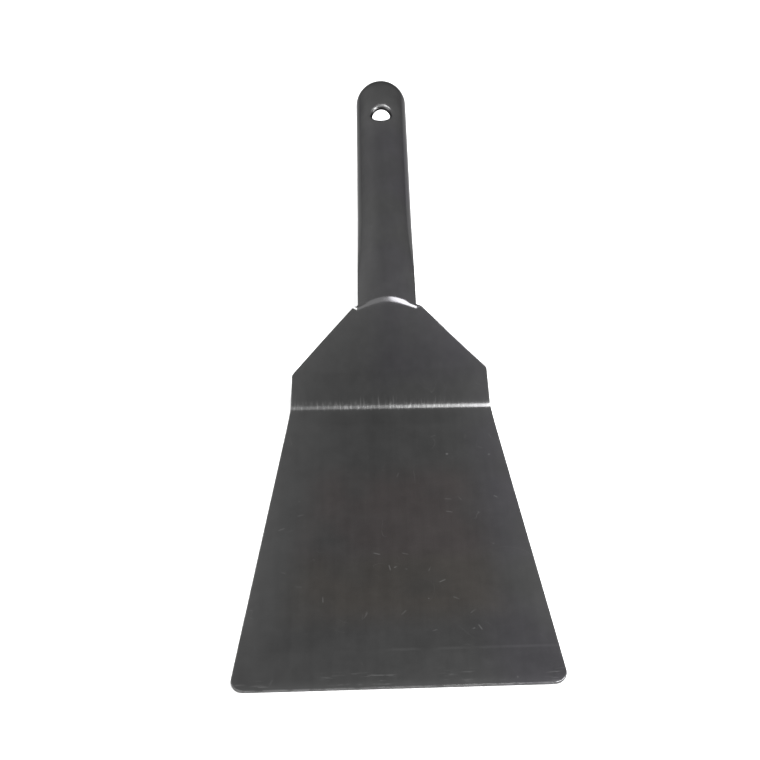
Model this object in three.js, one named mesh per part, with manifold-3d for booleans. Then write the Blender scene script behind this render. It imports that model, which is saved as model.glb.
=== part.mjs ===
// One-piece mason's hawk: a tool pressed from a single sheet of dark steel.
// From front to back it has a flat tapered blade, a crisp fold up, a short panel with sloping
// shoulders, an arched fold at the neck and a channel handle with a domed tip and a hanging hole.
//
// Millimetres, +Z up. The front edge of the blade faces -Y and the handle points along +Y.
// The blade's flat underside rests at z = 0.

import * as THREE from 'three';
import { mergeVertices } from 'three/addons/utils/BufferGeometryUtils.js';
import Module from 'manifold-3d';

// ---- Driving dimensions ------------------------------------------------------------------------

const sheet = 1.5;               // thickness of the sheet

const frontWidth = 150;          // blade, across the front edge before its corners are rounded
const frontCornerRadius = 6;
const bladeLength = 181;         // front edge to the crease
const creaseWidth = 107.5;
const thinnedLength = 20;        // the strip behind the front edge that thins towards it
const thinnedBy = 0.25;

const foldAngle = 45;            // rise of the panel above the blade
const easeAngle = 6;             // gentle curve of the blade just before the crease
const easeLength = 19;
const creaseRounding = 2;

const panelLength = 58.3;        // crease to the crown of the neck fold, up the slope
const shoulderStart = 19.2;      // crease to the shoulder corners, up the slope
const shoulderEnd = 56.9;        // crease to the neck corners, up the slope
const shoulderWidth = 105.2;
const shoulderRounding = 0.8;
const neckRounding = 1.2;

const handleWidth = 31.7;        // at the neck
const handleTipWidth = 31;       // where the domed tip starts
const handleRise = 11;           // slope of the handle against the blade
const handleLength = 187.3;      // neck fold to the tip, level with the blade
const neckDepth = 3.2;           // depth of the channel where it starts in the neck fold
const channelDepth = 14;         // full depth of the channel
const channelRunIn = 80;         // length over which the channel reaches its full depth
const neckFoldRounding = 2.2;
const domeLength = 15.4;

const holeRadius = 5.7;
const holeFromTip = 39.2;
const punchLength = 12;

// ---- Grid of the pressed sheet -----------------------------------------------------------------

const columns = 20;              // across the sheet
const arcRows = 5;               // rows in a rounded front corner
const easeRows = 4;
const creaseReach = 2.6;         // the crease's rows reach this far before and behind it
const creaseRows = 6;
const shoulderReach = 2;
const shoulderRows = 4;
const panelRows = 3;
const neckBefore = 9;            // the neck fold's rows start this far before its crown
const neckBehind = 3;            // and end this far behind it
const neckRows = 16;
const runInRows = 9;
const handleRows = 3;
const domeRows = 9;
const punchSides = 40;
const normalStep = 0.002;        // distance between the points that a normal is read from

// ---- Small helpers -----------------------------------------------------------------------------

const radians = THREE.MathUtils.degToRad;
const slope = (degrees) => Math.tan(radians(degrees));
const mix = THREE.MathUtils.lerp;
const clamp = THREE.MathUtils.clamp;
const ease = THREE.MathUtils.smoothstep;

// The larger or smaller of two heights, with the corner between them rounded off.
function smoothMax(a, b, rounding) {
  const overlap = Math.max(rounding - Math.abs(a - b), 0);
  return Math.max(a, b) + (overlap * overlap) / (4 * rounding);
}

function smoothMin(a, b, rounding) {
  return -smoothMax(-a, -b, rounding);
}

function spaced(from, to, steps) {
  return Array.from({ length: steps }, (_, i) => mix(from, to, i / steps));
}

// ---- Stations along the tool -------------------------------------------------------------------

const up = radians(foldAngle);
const creaseY = bladeLength;
const creaseZ = sheet + (slope(easeAngle) * easeLength) / 2;
const shoulderY = creaseY + shoulderStart * Math.cos(up);
const neckCornerY = creaseY + shoulderEnd * Math.cos(up);
const neckY = creaseY + panelLength * Math.cos(up);
const neckZ = creaseZ + panelLength * Math.sin(up);
const tipY = neckY + handleLength;
const domeY = tipY - domeLength;

// ---- Top of the sheet --------------------------------------------------------------------------

function bladeHeight(y) {
  const past = Math.max(y - (creaseY - easeLength), 0);
  return sheet + (slope(easeAngle) * past * past) / (2 * easeLength);
}

function panelHeight(y) {
  return creaseZ + slope(foldAngle) * (y - creaseY);
}

function crownHeight(y) {
  return neckZ + slope(handleRise) * (y - neckY);
}

// How far the channel wall has come down from the crown, at u = -1 .. 1 across the handle.
function channelDrop(u, y) {
  const grown = ease(y, neckY - neckDepth, neckY + channelRunIn);
  const depth = mix(neckDepth, channelDepth, grown);
  const shallow = Math.sin((Math.PI / 2) * u) ** 2;
  const halfRound = 1 - Math.cos((Math.PI / 2) * u);
  const domed = y > domeY ? Math.sqrt(Math.max(1 - ((y - domeY) / domeLength) ** 2, 0)) : 1;
  return depth * (1 - domed * (1 - mix(shallow, halfRound, grown)));
}

// Half of the blank's width at a station. The front corners are true arcs.
function halfWidth(y) {
  const bladeTaper = (frontWidth - creaseWidth) / 2 / bladeLength;
  const shoulderTaper = (shoulderWidth - handleWidth) / 2 / (neckCornerY - shoulderY);
  const panelTaper = (creaseWidth - shoulderWidth) / 2 / (shoulderY - creaseY);
  const blade = frontWidth / 2 - bladeTaper * y;
  const panel = creaseWidth / 2 - panelTaper * (y - creaseY);
  const shoulder = shoulderWidth / 2 - shoulderTaper * (y - shoulderY);
  const along = clamp((y - neckY) / (domeY - neckY), 0, 1);
  const handle = mix(handleWidth, handleTipWidth, along) / 2;
  if (y > domeY) return handle * Math.sqrt(Math.max(1 - ((y - domeY) / domeLength) ** 2, 0));
  if (y > creaseY) return smoothMax(smoothMin(panel, shoulder, shoulderRounding), handle, neckRounding);
  if (y >= cornerArc.endY) return blade;
  const inFromCentre = Math.sqrt(Math.max(frontCornerRadius ** 2 - (frontCornerRadius - y) ** 2, 0));
  return cornerArc.centreX + inFromCentre;
}

// The arc that rounds a front corner: it touches the front edge and the sloping side.
const sideLean = Math.atan((frontWidth - creaseWidth) / 2 / bladeLength);
const cornerArc = {
  centreX: frontWidth / 2 - frontCornerRadius * Math.tan(Math.PI / 4 + sideLean / 2),
  endY: frontCornerRadius * (1 + Math.sin(sideLean)),
};

// A point on the top of the full-thickness sheet.
function topPoint(u, y) {
  const rounded = ease(y, shoulderY, neckY);
  const across = mix(u, Math.sin((Math.PI / 2) * u), rounded);
  const flat = smoothMax(bladeHeight(y), panelHeight(y), creaseRounding);
  const channel = crownHeight(y) - channelDrop(u, y);
  const z = y > creaseY ? smoothMin(flat, channel, neckFoldRounding) : flat;
  return new THREE.Vector3(halfWidth(y) * across, y, z);
}

// The sheet's upward normal, from points close by on either side.
function topNormal(u, y) {
  const before = topPoint(u, y - normalStep);
  const after = topPoint(u, Math.min(y + normalStep, tipY - normalStep));
  const left = topPoint(u - normalStep, y);
  const right = topPoint(u + normalStep, y);
  return right.sub(left).cross(after.sub(before)).normalize();
}

// ---- The closed sheet --------------------------------------------------------------------------

function stations() {
  const cornerSteps = spaced(0, Math.PI / 2, arcRows);
  const cornerYs = cornerSteps.map((a) => cornerArc.endY * (1 - Math.cos(a)));
  const domeYs = spaced(0, Math.PI / 2, domeRows).map((a) => domeY + domeLength * Math.sin(a));
  return [
    ...cornerYs,
    ...spaced(cornerArc.endY, thinnedLength, 1),
    ...spaced(thinnedLength, creaseY - easeLength, 1),
    ...spaced(creaseY - easeLength, creaseY - creaseReach, easeRows),
    ...spaced(creaseY - creaseReach, creaseY + creaseReach, creaseRows),
    ...spaced(creaseY + creaseReach, shoulderY - shoulderReach, 1),
    ...spaced(shoulderY - shoulderReach, shoulderY + shoulderReach, shoulderRows),
    ...spaced(shoulderY + shoulderReach, neckY - neckBefore, panelRows),
    ...spaced(neckY - neckBefore, neckY + neckBehind, neckRows),
    ...spaced(neckY + neckBehind, neckY + channelRunIn, runInRows),
    ...spaced(neckY + channelRunIn, domeY, handleRows),
    ...domeYs,
  ];
}

function thinning(y) {
  return thinnedBy * Math.max(1 - y / thinnedLength, 0);
}

function sheetGeometry() {
  const rows = stations();
  const across = columns + 1;
  const top = [];
  const under = [];
  for (const y of rows) {
    for (let i = 0; i < across; i += 1) {
      const u = (2 * i) / columns - 1;
      const skin = topPoint(u, y);
      const normal = topNormal(u, y);
      top.push(skin.clone().addScaledVector(normal, -thinning(y)));
      under.push(skin.addScaledVector(normal, -sheet));
    }
  }
  // At the very tip the rows close to one point on each side of the sheet.
  const rim = crownHeight(tipY) - channelDepth;
  top.push(new THREE.Vector3(0, tipY, rim));
  under.push(new THREE.Vector3(0, tipY - sheet, rim));

  const points = [...top, ...under];
  const offset = top.length;
  const faces = [];
  const quad = (a, b, c, d) => faces.push(a, b, c, a, c, d);
  const last = rows.length - 1;
  for (let r = 0; r < last; r += 1) {
    for (let i = 0; i < columns; i += 1) {
      const a = r * across + i;
      const b = a + across;
      quad(a, a + 1, b + 1, b);
      quad(offset + a, offset + b, offset + b + 1, offset + a + 1);
    }
    const left = r * across;
    const right = left + columns;
    quad(left, left + across, offset + left + across, offset + left);
    quad(right, offset + right, offset + right + across, right + across);
  }
  for (let i = 0; i < columns; i += 1) {
    const front = i;
    const back = last * across + i;
    quad(front, offset + front, offset + front + 1, front + 1);
    faces.push(back, back + 1, offset - 1);
    faces.push(offset + back, points.length - 1, offset + back + 1);
  }
  const left = last * across;
  const right = left + columns;
  quad(left, offset - 1, points.length - 1, offset + left);
  quad(right, offset + right, points.length - 1, offset - 1);

  const geometry = new THREE.BufferGeometry().setFromPoints(points);
  geometry.setIndex(faces);
  return geometry;
}

// ---- Cutting -----------------------------------------------------------------------------------

const wasm = await Module();
wasm.setup();

function toSolid(geometry) {
  const bare = geometry.clone();
  bare.deleteAttribute('normal');
  bare.deleteAttribute('uv');
  const merged = mergeVertices(bare, 1e-4);
  return new wasm.Manifold(new wasm.Mesh({
    numProp: 3,
    vertProperties: new Float32Array(merged.attributes.position.array),
    triVerts: new Uint32Array(merged.index.array),
  }));
}

function toGeometry(solid) {
  const mesh = solid.getMesh();
  const geometry = new THREE.BufferGeometry();
  geometry.setAttribute('position', new THREE.BufferAttribute(mesh.vertProperties, 3));
  geometry.setIndex(new THREE.BufferAttribute(mesh.triVerts, 1));
  geometry.computeVertexNormals();
  return geometry;
}

// A round punch through the crown near the tip, square to the sheet there.
function hangingPunch() {
  const y = tipY - holeFromTip;
  const punch = new THREE.CylinderGeometry(holeRadius, holeRadius, punchLength, punchSides);
  punch.applyQuaternion(
    new THREE.Quaternion().setFromUnitVectors(new THREE.Vector3(0, 1, 0), topNormal(0, y)),
  );
  punch.translate(0, y, topPoint(0, y).z);
  return punch;
}

// ---- The part ----------------------------------------------------------------------------------

const pressing = toGeometry(toSolid(sheetGeometry()).subtract(toSolid(hangingPunch())));
pressing.translate(0, -tipY / 2, 0);

const darkSteel = new THREE.MeshStandardMaterial({ color: 0x3a3a3c, roughness: 0.42, metalness: 0.6 });
const tool = new THREE.Mesh(pressing, darkSteel);
tool.name = 'hawk_pressing';

const group = new THREE.Group();
group.add(tool);

export default group;
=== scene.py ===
# A one-piece mason's hawk, pressed from a single sheet of dark steel, lying on a pale floor.
# The sheet's sizes are in millimetres; the mesh, lights and camera are in metres.

import math

import bpy
import numpy as np
from mathutils import Matrix, Vector


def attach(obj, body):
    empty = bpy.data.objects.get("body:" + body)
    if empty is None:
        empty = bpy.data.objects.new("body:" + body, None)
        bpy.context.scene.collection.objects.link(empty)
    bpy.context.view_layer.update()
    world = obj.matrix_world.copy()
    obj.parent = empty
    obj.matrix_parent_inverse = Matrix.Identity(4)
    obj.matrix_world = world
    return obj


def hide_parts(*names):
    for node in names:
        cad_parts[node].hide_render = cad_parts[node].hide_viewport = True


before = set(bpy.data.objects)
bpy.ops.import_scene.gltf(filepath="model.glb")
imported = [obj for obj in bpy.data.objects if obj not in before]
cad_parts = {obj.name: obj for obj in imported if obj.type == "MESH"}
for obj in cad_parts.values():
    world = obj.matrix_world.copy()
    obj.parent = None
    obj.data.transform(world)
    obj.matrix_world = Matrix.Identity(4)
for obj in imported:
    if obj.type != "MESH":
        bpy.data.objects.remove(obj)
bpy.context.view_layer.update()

MM = 0.001

# ---- Sizes of the pressing, in millimetres -------------------------------------------------------

SHEET = 1.5
EDGE_ROUNDING = 0.32
THINNED_LENGTH = 20.0
THINNED_BY = 0.25

FRONT_WIDTH = 150.0
CORNER_RADIUS = 6.0
BLADE_LENGTH = 181.0
CREASE_WIDTH = 107.5

FOLD_ANGLE = math.radians(45)
FOLD_SKEW = 0.0185        # the fold runs this much out of square with the front edge
EASE_SLOPE = math.tan(math.radians(6))
EASE_LENGTH = 19.0
CREASE_ROUNDING = 2.0

PANEL_LENGTH = 58.3
SHOULDER_START = 19.2
SHOULDER_END = 56.9
SHOULDER_WIDTH = 105.2
SHOULDER_ROUNDING = 0.8
NECK_ROUNDING = 1.2

HANDLE_WIDTH = 31.7
HANDLE_TIP_WIDTH = 31.0
HANDLE_SLOPE = math.tan(math.radians(11))
HANDLE_LENGTH = 187.3
NECK_DEPTH = 3.2
CHANNEL_DEPTH = 14.0
CHANNEL_RUN_IN = 80.0
NECK_FOLD_ROUNDING = 2.2
SHOULDER_FLATNESS = 1.0   # the neck's fold dies out this soon past the handle's width
DOME_LENGTH = 15.4

HOLE_RADIUS = 5.7
HOLE_FROM_TIP = 39.2
HOLE_TOP_ROUNDING = 1.1
DIMPLE_DEPTH = 0.85       # the punch drew the sheet down round the hole, most on its far side
DIMPLE_REACH = 3.6
HOLLOW_DEPTH = 0.4        # and pulled a wider, shallower hollow into the sheet about it
HOLLOW_REACH = 9.0
WAVINESS = 0.05           # half height of the blade's slow waves
BORE = -1.0               # stands in the edge attribute for the wall of the hole

COLUMNS = 64              # faces across the sheet
RIM_STEPS = 3             # faces across each rounded edge of the sheet
NORMAL_STEP = 0.004       # distance between the points that a normal is read from
HOLE_BLOCK = 10.5         # half length of the square of the grid that the hole's rings fill
HOLE_RINGS = (0.16, 0.32, 0.47, 0.6, 0.7, 0.78, 1)

# Stations along the tool, from the front edge at zero
CREASE_Y = BLADE_LENGTH
CREASE_Z = SHEET + EASE_SLOPE * EASE_LENGTH / 2
SHOULDER_Y = CREASE_Y + SHOULDER_START * math.cos(FOLD_ANGLE)
NECK_CORNER_Y = CREASE_Y + SHOULDER_END * math.cos(FOLD_ANGLE)
NECK_Y = CREASE_Y + PANEL_LENGTH * math.cos(FOLD_ANGLE)
NECK_Z = CREASE_Z + PANEL_LENGTH * math.sin(FOLD_ANGLE)
TIP_Y = NECK_Y + HANDLE_LENGTH
TIP_Z = NECK_Z + HANDLE_SLOPE * HANDLE_LENGTH - CHANNEL_DEPTH
DOME_Y = TIP_Y - DOME_LENGTH
HOLE_Y = TIP_Y - HOLE_FROM_TIP
SIDE_LEAN = math.atan((FRONT_WIDTH - CREASE_WIDTH) / 2 / BLADE_LENGTH)
ARC_CENTRE_X = FRONT_WIDTH / 2 - CORNER_RADIUS * math.tan(math.pi / 4 + SIDE_LEAN / 2)
ARC_END_Y = CORNER_RADIUS * (1 + math.sin(SIDE_LEAN))


# ---- The shape of the sheet's top ------------------------------------------------------------------

def smooth_max(a, b, rounding):
    overlap = np.maximum(rounding - np.abs(a - b), 0)
    return np.maximum(a, b) + overlap ** 2 / (4 * rounding)


def smooth_min(a, b, rounding):
    return -smooth_max(-a, -b, rounding)


def smooth_step(x, start, end):
    t = np.clip((x - start) / (end - start), 0, 1)
    return t * t * (3 - 2 * t)


def domed(y):
    """How much of the handle's section is left, from 1 where the dome starts to 0 at the tip."""
    past = np.clip((y - DOME_Y) / DOME_LENGTH, 0, 1)
    return np.sqrt(1 - past ** 2)


def handle_half_width(y):
    along = np.clip((y - NECK_Y) / (DOME_Y - NECK_Y), 0, 1)
    return (HANDLE_WIDTH + (HANDLE_TIP_WIDTH - HANDLE_WIDTH) * along) / 2


def half_width(y):
    blade = FRONT_WIDTH / 2 - math.tan(SIDE_LEAN) * y
    round_corner = ARC_CENTRE_X + np.sqrt(np.maximum(CORNER_RADIUS ** 2 - (CORNER_RADIUS - y) ** 2, 0))
    panel_taper = (CREASE_WIDTH - SHOULDER_WIDTH) / 2 / (SHOULDER_Y - CREASE_Y)
    shoulder_taper = (SHOULDER_WIDTH - HANDLE_WIDTH) / 2 / (NECK_CORNER_Y - SHOULDER_Y)
    panel = CREASE_WIDTH / 2 - panel_taper * (y - CREASE_Y)
    shoulder = SHOULDER_WIDTH / 2 - shoulder_taper * (y - SHOULDER_Y)
    neck = smooth_max(smooth_min(panel, shoulder, SHOULDER_ROUNDING), handle_half_width(y), NECK_ROUNDING)
    width = np.where(y < ARC_END_Y, round_corner, np.where(y < CREASE_Y, blade, neck))
    return np.where(y > DOME_Y, HANDLE_TIP_WIDTH / 2 * domed(y), width)


def channel_drop(u, y):
    """How far the channel's wall has come down from the crown, at u = -1 .. 1 across the handle."""
    grown = smooth_step(y, NECK_Y - NECK_DEPTH, NECK_Y + CHANNEL_RUN_IN)
    depth = NECK_DEPTH + (CHANNEL_DEPTH - NECK_DEPTH) * grown
    shallow = np.sin(math.pi / 2 * u) ** 2
    half_round = 1 - np.cos(math.pi / 2 * u)
    section = shallow + (half_round - shallow) * grown
    return depth * (1 - domed(y) * (1 - section))


def hole_distance(x, y):
    return np.hypot(x, y - HOLE_Y) - HOLE_RADIUS


def waves(x, y):
    """The slow unevenness of a rolled sheet, never below the flat."""
    lift = 2 + np.sin(x / 23 + 0.6 + y / 71) + np.sin(y / 19 - x / 47)
    return WAVINESS * lift / 2 * (1 - smooth_step(y, CREASE_Y - 40, CREASE_Y - EASE_LENGTH))


def top_point(u, y):
    """Points on the top of the full-thickness sheet."""
    y = np.minimum(y, TIP_Y)
    rounded = smooth_step(y, SHOULDER_Y, NECK_Y)
    x = half_width(y) * (u + (np.sin(math.pi / 2 * u) - u) * rounded)
    skew = FOLD_SKEW * x * (1 - smooth_step(y, CREASE_Y + 8, NECK_Y - 8))
    past = np.maximum(y + skew - (CREASE_Y - EASE_LENGTH), 0)
    blade = SHEET + EASE_SLOPE * past ** 2 / (2 * EASE_LENGTH) + waves(x, y)
    panel = CREASE_Z + math.tan(FOLD_ANGLE) * (y + skew - CREASE_Y)
    flat = smooth_max(blade, panel, CREASE_ROUNDING)
    drawn = 0.3 + 0.7 * smooth_step(y, HOLE_Y - HOLE_RADIUS, HOLE_Y + HOLE_RADIUS)
    dimple = DIMPLE_DEPTH * drawn * (1 - smooth_step(hole_distance(x, y), 0, DIMPLE_REACH))
    dimple = dimple + HOLLOW_DEPTH * drawn * (1 - smooth_step(hole_distance(x, y), 0, HOLLOW_REACH))
    beyond = np.maximum(np.abs(x) - handle_half_width(y), 0)
    channel = NECK_Z + HANDLE_SLOPE * (y - NECK_Y) - channel_drop(u, y) - dimple
    channel = channel + beyond ** 2 / (beyond + SHOULDER_FLATNESS)
    z = np.where(y > SHOULDER_Y, smooth_min(flat, channel, NECK_FOLD_ROUNDING), flat)
    return np.stack([x, y + 0 * u, z], axis=-1)


def unit(v):
    return v / np.linalg.norm(v, axis=-1, keepdims=True)


def top_normal(u, y):
    after = np.minimum(y + NORMAL_STEP, TIP_Y - NORMAL_STEP)
    along = top_point(u, after) - top_point(u, y - NORMAL_STEP)
    across = top_point(u + NORMAL_STEP, y) - top_point(u - NORMAL_STEP, y)
    return unit(np.cross(across, along))


def edge_distance(u, y):
    """How far points are from the nearest cut edge, measured over the sheet."""
    fine = np.linspace(-1, 1, 257)
    skin = top_point(fine, np.full_like(fine, y))
    run = np.concatenate([[0], np.cumsum(np.linalg.norm(np.diff(skin, axis=0), axis=1))])
    from_left = np.interp(u, fine, run)
    to_side = np.minimum(from_left, run[-1] - from_left)
    slant = (half_width(y + 0.1) - half_width(y - 0.1)) / 0.2
    to_side = to_side / math.sqrt(1 + slant ** 2 / 2)
    to_hole = np.maximum(hole_distance(half_width(y) * np.sin(math.pi / 2 * u), y), 0)
    to_end = min(y, 1.4 * (TIP_Y - y))
    return np.minimum(np.minimum(to_side, to_end), to_hole if y > NECK_Y else to_side)


# ---- The mesh ---------------------------------------------------------------------------------------

def spaced(start, end, steps):
    return [start + (end - start) * i / steps for i in range(steps)]


def stations():
    corner = [ARC_END_Y * (1 - math.cos(a)) for a in spaced(0, math.pi / 2, 12)]
    dome = [DOME_Y + DOME_LENGTH * math.sin(a) for a in spaced(0, math.pi / 2, 22)]
    ease_start = CREASE_Y - EASE_LENGTH
    fold = 2 * CREASE_ROUNDING
    return np.array(
        corner
        + spaced(ARC_END_Y, THINNED_LENGTH, 4)
        + spaced(THINNED_LENGTH, ease_start, 40)
        + spaced(ease_start, CREASE_Y - fold, 10)
        + spaced(CREASE_Y - fold, CREASE_Y + fold, 32)
        + spaced(CREASE_Y + fold, SHOULDER_Y - 2.5, 4)
        + spaced(SHOULDER_Y - 2.5, SHOULDER_Y + 2.5, 10)
        + spaced(SHOULDER_Y + 2.5, NECK_Y - 11, 6)
        + spaced(NECK_Y - 11, NECK_Y + 5, 50)
        + spaced(NECK_Y + 5, NECK_Y + CHANNEL_RUN_IN, 30)
        + spaced(NECK_Y + CHANNEL_RUN_IN, HOLE_Y - HOLE_BLOCK, 18)
        + spaced(HOLE_Y - HOLE_BLOCK, HOLE_Y + HOLE_BLOCK, 26)
        + spaced(HOLE_Y + HOLE_BLOCK, DOME_Y, 8)
        + dome
    )


class Sheet:
    """The sheet's vertices, in pairs of a top one and the underside one below it, and its faces."""

    def __init__(self):
        self.points = []
        self.normals = []
        self.edges = []
        self.faces = []

    def pair(self, skin, normal, edge, thinner=0.0):
        """Adds a top vertex and the underside vertex below it, and returns the top one's number."""
        self.points += [skin - normal * thinner, skin - normal * SHEET]
        self.normals += [normal, normal]
        self.edges += [edge, edge]
        return len(self.points) - 2

    def skin_face(self, *tops):
        self.faces.append(tops)
        self.faces.append(tuple(t + 1 for t in reversed(tops)))

    def rim(self, loop, top_rounding, under_rounding, edge):
        """Rounds the cut edge along a closed loop of top vertices that keeps the sheet on its left."""
        tops = np.array([self.points[i] for i in loop])
        tangents = np.roll(tops, -1, axis=0) - np.roll(tops, 1, axis=0)
        rings = []
        for top_index, tangent in zip(loop, tangents):
            normal = self.normals[top_index]
            outward = unit(np.cross(tangent, normal))
            top, under = self.points[top_index], self.points[top_index + 1]
            corners = (
                (top - (outward + normal) * top_rounding, top_rounding, 0),
                (under - (outward - normal) * under_rounding, under_rounding, math.pi / 2),
            )
            arc = []
            for centre, rounding, start in corners:
                for step in range(RIM_STEPS + 1):
                    angle = start + math.pi / 2 * step / RIM_STEPS
                    arc.append(centre + (normal * math.cos(angle) + outward * math.sin(angle)) * rounding)
            self.points[top_index], self.points[top_index + 1] = arc[0], arc[-1]
            first = len(self.points)
            between = arc[1:-1]
            self.points += between
            self.normals += [normal] * len(between)
            self.edges += [edge] * len(between)
            rings.append([top_index, *range(first, first + len(between)), top_index + 1])
        for ring, after in zip(rings, rings[1:] + rings[:1]):
            for a in range(len(ring) - 1):
                self.faces.append((ring[a], ring[a + 1], after[a + 1], after[a]))


def build_sheet():
    rows = stations()
    sheet = Sheet()
    u = np.linspace(-1, 1, COLUMNS + 1)
    first = []
    for y in rows:
        first.append(len(sheet.points))
        thinner = THINNED_BY * max(1 - y / THINNED_LENGTH, 0)
        for point, normal, edge in zip(top_point(u, y), top_normal(u, y), edge_distance(u, y)):
            sheet.pair(point, normal, edge, thinner)
    tip = sheet.pair(np.array([0.0, TIP_Y, TIP_Z]), np.array([0.0, 1.0, 0.0]), 0.0)

    def at(row, column):
        return first[row] + 2 * column

    in_block = np.flatnonzero(np.abs(rows - HOLE_Y) < HOLE_BLOCK + 1e-6)
    low_row, high_row = in_block[0], in_block[-1]
    middle = COLUMNS // 2
    reach = round(2 / math.pi * math.asin(HOLE_BLOCK / handle_half_width(HOLE_Y)) * middle)
    low_column, high_column = middle - reach, middle + reach

    last = len(rows) - 1
    for r in range(last):
        for c in range(COLUMNS):
            if not (low_row <= r < high_row and low_column <= c < high_column):
                sheet.skin_face(at(r, c), at(r, c + 1), at(r + 1, c + 1), at(r + 1, c))
    for c in range(COLUMNS):
        sheet.skin_face(at(last, c), at(last, c + 1), tip)

    outline = [at(0, c) for c in range(COLUMNS)]
    outline += [at(r, COLUMNS) for r in range(last + 1)]
    outline += [tip]
    outline += [at(r, 0) for r in range(last, 0, -1)]
    sheet.rim(outline, EDGE_ROUNDING, EDGE_ROUNDING, 0.0)

    block = [(low_row, c) for c in range(low_column, high_column)]
    block += [(r, high_column) for r in range(low_row, high_row)]
    block += [(high_row, c) for c in range(high_column, low_column, -1)]
    block += [(r, low_column) for r in range(high_row, low_row, -1)]
    spots = [(handle_half_width(rows[r]) * math.sin(math.pi / 2 * u[c]), rows[r]) for r, c in block]
    add_hole(sheet, [at(r, c) for r, c in block], spots)
    return sheet


def add_hole(sheet, ring, spots):
    """Rings of faces from a square of the grid in to the hanging hole."""
    for share in HOLE_RINGS:
        inner = []
        for x, y in spots:
            angle = math.atan2(y - HOLE_Y, x)
            px = x + (HOLE_RADIUS * math.cos(angle) - x) * share
            py = y + (HOLE_Y + HOLE_RADIUS * math.sin(angle) - y) * share
            u = 2 / math.pi * math.asin(px / handle_half_width(py))
            inner.append(sheet.pair(top_point(u, py), top_normal(u, py), float(hole_distance(px, py))))
        for k in range(len(ring)):
            after = (k + 1) % len(ring)
            sheet.skin_face(ring[k], ring[after], inner[after], inner[k])
        ring = inner
    sheet.rim(ring[::-1], HOLE_TOP_ROUNDING, EDGE_ROUNDING, BORE)


def build_pressing():
    sheet = build_sheet()
    points = np.array(sheet.points)
    points[:, 1] -= TIP_Y / 2
    mesh = bpy.data.meshes.new("hawk_sheet")
    mesh.from_pydata((points * MM).tolist(), [], sheet.faces)
    mesh.shade_smooth()
    edge = mesh.attributes.new("edge", "FLOAT", "POINT")
    edge.data.foreach_set("value", np.array(sheet.edges, dtype=np.float32))
    mesh.materials.append(dark_steel())
    mesh.update()
    obj = bpy.data.objects.new("hawk_sheet", mesh)
    bpy.context.scene.collection.objects.link(obj)
    obj.modifiers.new("even_normals", "WEIGHTED_NORMAL")
    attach(obj, "root")
    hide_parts("hawk_pressing")


# ---- Materials ---------------------------------------------------------------------------------------

class Graph:
    """Short names for the nodes that a material is made of. Sockets go in and sockets come out."""

    def __init__(self, tree):
        self.tree = tree

    def node(self, kind, inputs, **settings):
        node = self.tree.nodes.new(kind)
        for name, value in settings.items():
            setattr(node, name, value)
        for name, value in inputs.items():
            self.put(value, node.inputs[name])
        return node

    def put(self, value, socket):
        if isinstance(value, bpy.types.NodeSocket):
            self.tree.links.new(value, socket)
        else:
            socket.default_value = value

    def math(self, operation, a, b=0.0):
        return self.node("ShaderNodeMath", {0: a, 1: b}, operation=operation).outputs[0]

    def plus(self, *values):
        total = values[0]
        for value in values[1:]:
            total = self.math("ADD", total, value)
        return total

    def times(self, *values):
        product = values[0]
        for value in values[1:]:
            product = self.math("MULTIPLY", product, value)
        return product

    def most(self, *values):
        largest = values[0]
        for value in values[1:]:
            largest = self.math("MAXIMUM", largest, value)
        return largest

    def distance(self, a, b):
        return self.math("ABSOLUTE", self.math("SUBTRACT", a, b))

    def rise(self, value, start, end):
        """0 below start, 1 above end and smooth between. It falls if start is above end."""
        inputs = {"Value": value, "From Min": start, "From Max": end}
        return self.node("ShaderNodeMapRange", inputs, interpolation_type="SMOOTHSTEP").outputs[0]

    def blend(self, share, low, high):
        """Between two numbers."""
        inputs = {"Value": share, "To Min": low, "To Max": high}
        return self.node("ShaderNodeMapRange", inputs).outputs[0]

    def mix(self, share, low, high):
        """Between two colours."""
        return self.node("ShaderNodeMix", {0: share, 6: low, 7: high}, data_type="RGBA").outputs[2]

    def split(self, vector):
        return self.node("ShaderNodeSeparateXYZ", {0: vector}).outputs

    def stretched(self, vector, x, y, z):
        inputs = {0: vector, 1: (x, y, z)}
        return self.node("ShaderNodeVectorMath", inputs, operation="MULTIPLY").outputs[0]

    def noise(self, vector, scale, detail=2.0, roughness=0.5, distortion=0.0):
        inputs = {
            "Vector": vector, "Scale": scale, "Detail": detail,
            "Roughness": roughness, "Distortion": distortion,
        }
        return self.node("ShaderNodeTexNoise", inputs).outputs[0]

    def cells(self, vector, scale):
        return self.node("ShaderNodeTexVoronoi", {"Vector": vector, "Scale": scale}).outputs


class SteelGraph(Graph):
    """The steel's nodes share places in millimetres, the edge attribute and three sizes of mottling."""

    def __init__(self, tree):
        super().__init__(tree)
        metres = self.node("ShaderNodeTexCoord", {}).outputs["Object"]
        self.place = self.stretched(metres, 1 / MM, 1 / MM, 1 / MM)
        axes = self.split(self.place)
        self.x = axes[0]
        self.along = self.plus(axes[1], TIP_Y / 2)
        self.skewed = self.plus(self.along, self.times(self.x, FOLD_SKEW))
        self.edge = self.node("ShaderNodeAttribute", {}, attribute_name="edge").outputs["Fac"]
        self.slow = self.noise(self.place, 0.018, detail=2)
        self.blotch = self.noise(self.place, 0.065, detail=3, roughness=0.6)
        self.fine = self.noise(self.place, 0.2, detail=5, roughness=0.62)
        self.ticks = self.noise(self.stretched(self.place, 1, 0.12, 0.12), 1.3, detail=3, roughness=0.7)
        self.rubbed = self.rise(self.distance(self.skewed, CREASE_Y), 4.5, 1.5)


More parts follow.
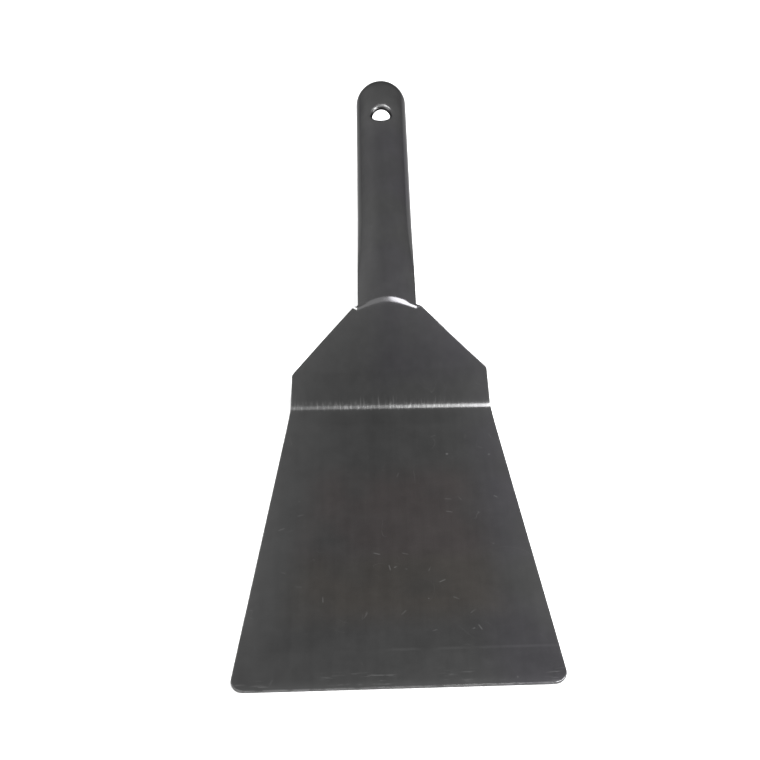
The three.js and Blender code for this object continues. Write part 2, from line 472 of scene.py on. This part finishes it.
def skin_tone_and_painted_light(g):
    """How light the skin is: mottled and streaked along the sheet, with painted sheen lighter towards the
    cut edges, on the handle and on the right, painted highlights along the front, and painted shade before
    the fold and in the hole.
    """
    streaks = g.noise(g.stretched(g.place, 1, 0.08, 1), 0.3, detail=3)
    # painted sheen: lighter towards the cut edges, less so near the front edge
    edge_sheen = g.math("POWER", math.e, g.times(g.edge, -1 / 17))
    edge_sheen = g.times(edge_sheen, g.blend(g.rise(g.along, 5, 45), 0.35, 1))
    handle_sheen = g.rise(g.along, NECK_Y - 20, NECK_Y + 20)
    mottling = g.plus(g.times(g.slow, 0.16), g.times(g.blotch, 0.34), g.times(g.fine, 0.13))
    # painted sheen, summed: towards the cut edges, on the handle and towards the right
    places = g.plus(g.times(edge_sheen, 0.47), g.times(handle_sheen, 0.09), g.times(g.rise(g.x, -20, 60), 0.07))

    # painted sheen on the strip that thins towards the front edge, a painted highlight along the line where
    # it starts, and a painted highlight along the front edge itself
    strip = g.rise(g.along, THINNED_LENGTH + 0.3, THINNED_LENGTH - 0.5)
    broken = g.rise(g.noise(g.stretched(g.place, 1, 0.2, 1), 0.05, detail=1), 0.36, 0.56)
    line = g.times(g.rise(g.distance(g.along, THINNED_LENGTH), 1.1, 0.2), broken, g.rise(g.x, -35, 10))
    front = g.plus(g.times(strip, 0.03), g.times(g.rise(g.along, 5, 0), 0.22), g.times(line, 0.22))

    # painted shade: a darker band before the fold, and the wall of the hole darkened
    fold_shade_band = g.times(g.rise(g.distance(g.skewed, CREASE_Y - 9), 6, 2), g.rise(g.edge, 8, 25))
    tone = g.plus(0.47, mottling, g.times(streaks, 0.2), places, front, g.times(fold_shade_band, -0.06))
    # painted shade in the hole: its wall is taken down to a quarter of the tone
    return g.times(tone, g.blend(g.rise(g.edge, 0.1 * BORE, 0.7 * BORE), 1, 0.25))


def nicks(g):
    """Short straight dashes, each turned its own way, in loose clusters on the blade."""
    cells = g.cells(g.place, 0.11)
    centre = cells["Position"]
    chance = g.split(cells["Color"])
    inputs = {"Vector": g.place, "Center": centre, "Angle": g.times(chance[0], 2 * math.pi)}
    turned = g.node("ShaderNodeVectorRotate", inputs, rotation_type="Z_AXIS").outputs[0]
    offset = g.node("ShaderNodeVectorMath", {0: turned, 1: centre}, operation="SUBTRACT").outputs[0]
    from_centre = g.split(offset)
    dash = g.times(
        g.rise(g.math("ABSOLUTE", from_centre[0]), 2.2, 0.9),
        g.rise(g.math("ABSOLUTE", from_centre[1]), 0.4, 0.15),
    )
    cluster = g.rise(g.noise(g.place, 0.025, detail=1), 0.5, 0.6)
    on_blade = g.rise(g.along, CREASE_Y - 12, CREASE_Y - 20)
    return g.times(dash, g.rise(chance[1], 0.62, 0.95), cluster, on_blade)


def handling_marks(g):
    """Nicks, long hair scratches, specks, and scuffs behind the front edge."""
    contour = g.distance(g.noise(g.place, 0.03, detail=1, distortion=1.5), 0.5)
    hair = g.times(g.rise(contour, 0.0022, 0.0004), g.rise(g.noise(g.place, 0.05, detail=2), 0.56, 0.7))
    speck = g.rise(g.cells(g.place, 0.085)["Distance"], 0.08, 0.03)
    speck = g.times(speck, g.rise(g.noise(g.place, 0.045, detail=0), 0.56, 0.66))
    scuff = g.rise(g.noise(g.stretched(g.place, 0.12, 1, 1), 0.9, detail=3), 0.56, 0.68)
    scuff = g.times(scuff, g.rise(g.along, 11, 4), g.rise(g.noise(g.place, 0.03, detail=0), 0.45, 0.58))
    return g.most(g.times(nicks(g), 0.2), g.times(hair, 0.16), g.times(speck, 0.25), g.times(scuff, 0.2))


def fold_wear_and_highlight(g):
    """Short upright ticks of rubbed bare metal along the fold, a few of them taller, and fewer on the
    right. They also serve as a painted highlight on the left and middle of the fold.
    """
    short = g.times(g.rise(g.distance(g.skewed, CREASE_Y), 3.4, 0.8), g.rise(g.ticks, 0.46, 0.7))
    tall = g.times(
        g.rise(g.noise(g.stretched(g.place, 1, 0.05, 0.05), 0.75, detail=2), 0.6, 0.7),
        g.rise(g.skewed, CREASE_Y + 5, CREASE_Y + 1.5),
        g.rise(g.skewed, CREASE_Y - 1.5, CREASE_Y),
    )
    wear_and_highlight = g.most(g.times(short, 0.24), g.times(tall, 0.22))
    # fainter on the right, where the lamp lights the fold; on the left and middle the ticks are partly a
    # painted highlight
    return g.times(wear_and_highlight, g.blend(g.rise(g.x, 45, 10), 0.35, 1))


def edge_wear(g):
    """Bare metal in places along the cut edges of the blade and the panel."""
    worn = g.times(g.rise(g.edge, 0.55, 0.1), g.rise(g.fine, 0.35, 0.6))
    return g.times(worn, g.rise(g.along, NECK_Y + 10, NECK_Y), 0.2)


def skin_tint(g):
    """Brownish in the middle of the blade, faintly violet on the handle and the right side, else grey."""
    warm = g.times(g.rise(g.along, 28, 48), g.rise(g.along, 145, 120), g.rise(g.edge, 10, 34))
    warm = g.times(warm, g.rise(g.slow, 0.2, 0.48))
    behind_fold = g.times(g.rise(g.along, CREASE_Y, CREASE_Y + 12), g.rise(g.x, -20, 8))
    violet = g.times(g.most(behind_fold, g.rise(g.x, 30, 55)), g.rise(g.slow, 0.7, 0.4))
    grey = g.mix(violet, (0.0515, 0.0515, 0.0515, 1), (0.0520, 0.0508, 0.0545, 1))
    brown = g.mix(g.rise(g.along, 68, 82), (0.0562, 0.0524, 0.0487, 1), (0.0562, 0.0509, 0.0503, 1))
    return g.mix(warm, grey, brown)


def dark_steel():
    """Blackened steel that handling has marked, rubbed to bare metal along the fold and the edges, with
    painted sheen and shade in its tone and a painted highlight along the fold.
    """
    material = bpy.data.materials.new("dark_steel")
    material.use_nodes = True
    shader = material.node_tree.nodes["Principled BSDF"]
    g = SteelGraph(material.node_tree)

    marks = handling_marks(g)
    # bare metal from handling and the edges, and along the fold bare metal that is also a painted highlight
    bare = g.most(marks, fold_wear_and_highlight(g), edge_wear(g))
    inputs = {"Vector": skin_tint(g), "Scale": skin_tone_and_painted_light(g)}
    skin = g.node("ShaderNodeVectorMath", inputs, operation="SCALE").outputs[0]
    g.put(g.mix(bare, skin, (0.3, 0.3, 0.3, 1)), shader.inputs["Base Color"])

    roughness = g.plus(g.blend(g.fine, 0.13, 0.21), g.times(g.rubbed, 0.07), g.times(marks, 0.1))
    g.put(roughness, shader.inputs["Roughness"])
    shader.inputs["Metallic"].default_value = 1
    shader.inputs["Specular Tint"].default_value = (0.43, 0.43, 0.43, 1)

    grain = g.noise(g.place, 0.45, detail=3)
    height = g.plus(g.times(grain, 0.004), g.times(g.rubbed, g.ticks, 0.008))
    bump = g.node("ShaderNodeBump", {"Height": height, "Distance": MM})
    g.put(bump.outputs[0], shader.inputs["Normal"])
    return material


def floor_material():
    material = bpy.data.materials.new("floor")
    material.use_nodes = True
    shader = material.node_tree.nodes["Principled BSDF"]
    shader.inputs["Base Color"].default_value = (0.8, 0.8, 0.8, 1)
    shader.inputs["Roughness"].default_value = 0.9
    return material


# ---- Stage: floor, light and camera ------------------------------------------------------------------

def add_floor():
    half, under = 4.0, -0.0002
    mesh = bpy.data.meshes.new("floor")
    corners = [(-half, -half, under), (half, -half, under), (half, half, under), (-half, half, under)]
    mesh.from_pydata(corners, [], [(0, 1, 2, 3)])
    mesh.materials.append(floor_material())
    floor = bpy.data.objects.new("floor", mesh)
    bpy.context.scene.collection.objects.link(floor)


def add_softbox(name, x, y, height, width, length, watts):
    """A rectangular light that faces straight down."""
    data = bpy.data.lights.new(name, "AREA")
    data.shape = "RECTANGLE"
    data.size = width
    data.size_y = length
    data.energy = watts
    light = bpy.data.objects.new(name, data)
    light.location = (x, y, height)
    bpy.context.scene.collection.objects.link(light)


def add_world():
    """An even white room, a little brighter on the left."""
    world = bpy.data.worlds.new("studio")
    world.use_nodes = True
    background = world.node_tree.nodes["Background"]
    g = Graph(world.node_tree)
    direction = g.node("ShaderNodeTexCoord", {}).outputs["Generated"]
    leftward = g.rise(g.split(direction)[0], -0.1, -0.7)
    g.put(g.blend(leftward, 1.12, 1.4), background.inputs["Strength"])
    background.inputs["Color"].default_value = (1, 1, 1, 1)
    bpy.context.scene.world = world


def add_camera():
    azimuth, elevation, roll = math.radians(-0.485), math.radians(41.189), math.radians(-2.079)
    distance = 0.74454
    aim = Vector((-0.00514, 0.0004, 0.00051))
    forward = Vector((
        math.sin(azimuth) * math.cos(elevation),
        math.cos(azimuth) * math.cos(elevation),
        -math.sin(elevation),
    ))
    right = forward.cross(Vector((0, 0, 1))).normalized()
    up = right.cross(forward)
    turned_right = right * math.cos(roll) + up * math.sin(roll)
    turned_up = up * math.cos(roll) - right * math.sin(roll)
    data = bpy.data.cameras.new("camera")
    data.lens = 63.79
    data.sensor_width = 36
    data.clip_start = 0.01
    camera = bpy.data.objects.new("camera", data)
    rotation = Matrix((turned_right, turned_up, -forward)).transposed()
    camera.matrix_world = Matrix.Translation(aim - forward * distance) @ rotation.to_4x4()
    bpy.context.scene.collection.objects.link(camera)
    bpy.context.scene.camera = camera


# ---- The scene ----------------------------------------------------------------------------------------

build_pressing()
add_floor()
add_world()
add_softbox("key", 0.73, -0.02, 1.4, 1.3, 0.8, 55)
add_softbox("ceiling", -0.62, -0.02, 1.4, 1.3, 0.8, 4)
add_camera()
bpy.context.scene.view_settings.view_transform = "Standard"
